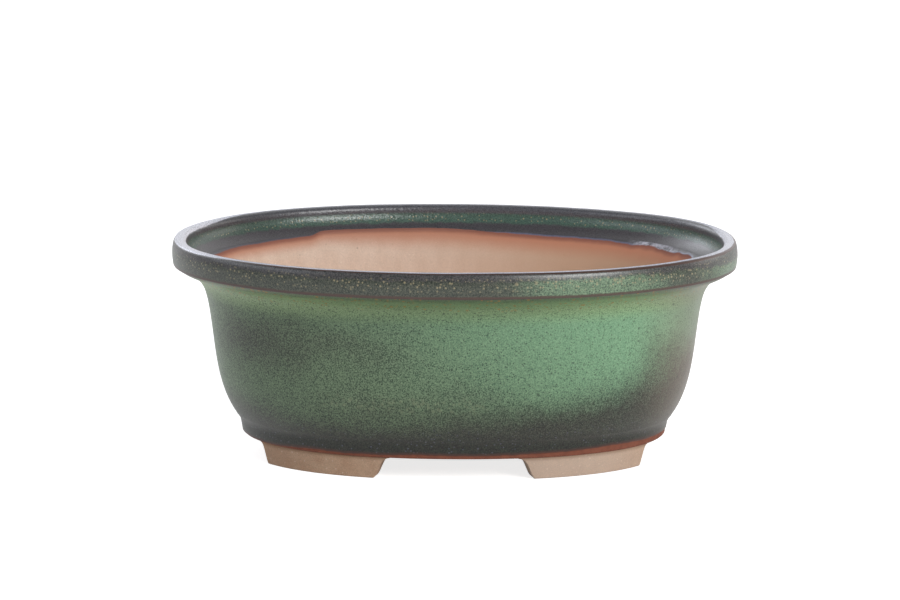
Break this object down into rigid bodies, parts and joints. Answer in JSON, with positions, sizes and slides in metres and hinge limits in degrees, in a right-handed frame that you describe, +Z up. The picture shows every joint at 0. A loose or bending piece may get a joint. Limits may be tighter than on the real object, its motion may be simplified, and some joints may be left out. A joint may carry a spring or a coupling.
{
  "type": "oval bonsai pot",
  "caption": "Oval stoneware bonsai pot with a banded rim, a flared green-glazed wall, a drained floor and bare clay feet, for growing a small tree.",
  "frame": {"origin": "on the ground under the middle of the pot", "axes": "+X along the pot's length, +Y across it towards the rear, +Z up"},
  "size_m": [0.302, 0.232, 0.1161],
  "materials": {
    "green_glaze": "satin speckled green glaze, smoky dark in patches and brown where it breaks at the edges",
    "bare_clay": "unglazed buff stoneware, matt"
  },
  "bodies": {
    "root": {"rim_band": "green_glaze", "body_wall": "green_glaze", "floor_slab": "bare_clay", "foot_front_left": "bare_clay", "foot_front_right": "bare_clay", "foot_rear_left": "bare_clay", "foot_rear_right": "bare_clay"}
  },
  "joints": []
}
